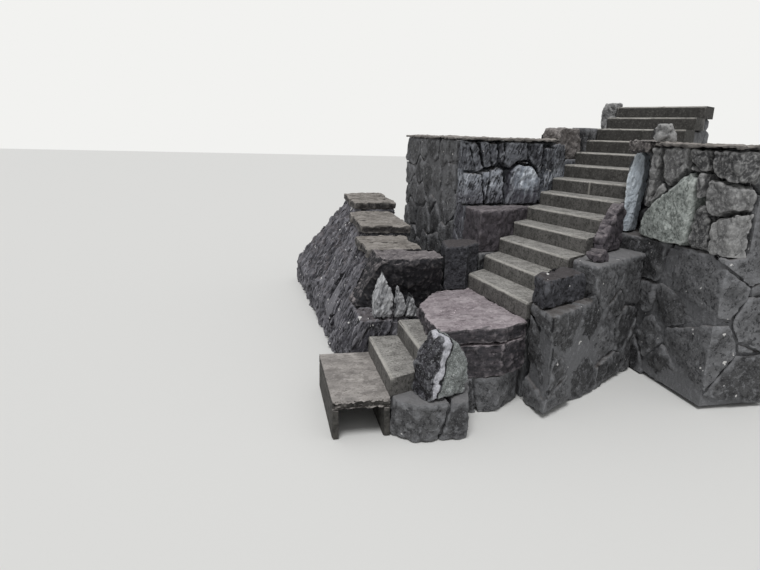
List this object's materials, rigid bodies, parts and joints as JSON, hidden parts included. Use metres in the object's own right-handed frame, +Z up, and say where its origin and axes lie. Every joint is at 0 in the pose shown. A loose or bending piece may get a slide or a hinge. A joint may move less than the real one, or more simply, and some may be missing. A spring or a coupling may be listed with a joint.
{
  "type": "outdoor stone steps",
  "caption": "Outdoor steps climbing from a slab over a culvert, past a boulder landing, in a turning concrete flight between boulder retaining walls",
  "frame": {"origin": "Middle of the foot of the first riser in plan, at the height of the lowest ground", "axes": "X runs level, uphill away from the road; Y runs along the road; Z is up"},
  "size_m": [5.8277, 5.75, 3.05],
  "materials": {
    "concrete": "weathered cast concrete with exposed fine aggregate",
    "dark_stone": "rough split slate, nearly black with weather",
    "purple_stone": "flat riven purple-brown stone",
    "pale_stone": "boulder with white and dark streaks",
    "grey_stone": "rough grey boulder"
  },
  "bodies": {
    "root": {"entry_slab": "concrete", "road_bearer": "concrete", "wall_bearer": "concrete", "lower_footing": "dark_stone", "step_01": "concrete", "step_02": "concrete", "landing_base": "dark_stone", "landing_stone": "purple_stone", "step_04": "concrete", "step_05": "concrete", "step_06": "concrete", "step_07": "concrete", "step_08": "concrete", "step_09": "concrete", "step_10": "concrete", "step_11": "concrete", "step_12": "concrete", "step_13": "concrete", "step_14": "concrete", "step_15": "concrete", "step_16": "concrete", "flight_core": "dark_stone", "corner_base": "dark_stone", "left_flank": "dark_stone", "right_flank": "dark_stone", "roadside_wall_near": "dark_stone", "roadside_wall_middle": "dark_stone", "roadside_wall_far": "dark_stone", "roadside_coping_near": "purple_stone", "roadside_coping_middle": "purple_stone", "roadside_coping_far": "purple_stone", "corner_boulder": "purple_stone", "wedge_stones": "pale_stone", "post_stone": "dark_stone", "ledge_stone": "purple_stone", "toe_boulder": "grey_stone", "left_wall": "dark_stone", "left_wall_boulders": "dark_stone", "streaked_boulder": "pale_stone", "left_coping": "purple_stone", "terrace_wall": "dark_stone", "terrace_coping": "purple_stone", "crest_boulder": "grey_stone", "crest_flank": "dark_stone", "block_stone": "dark_stone", "flank_boulders": "dark_stone", "pale_slab": "pale_stone", "perched_stone": "grey_stone", "right_wall": "dark_stone", "right_wall_boulders": "grey_stone", "wavy_boulder": "grey_stone", "right_coping": "purple_stone", "top_boulders": "grey_stone"}
  },
  "joints": []
}
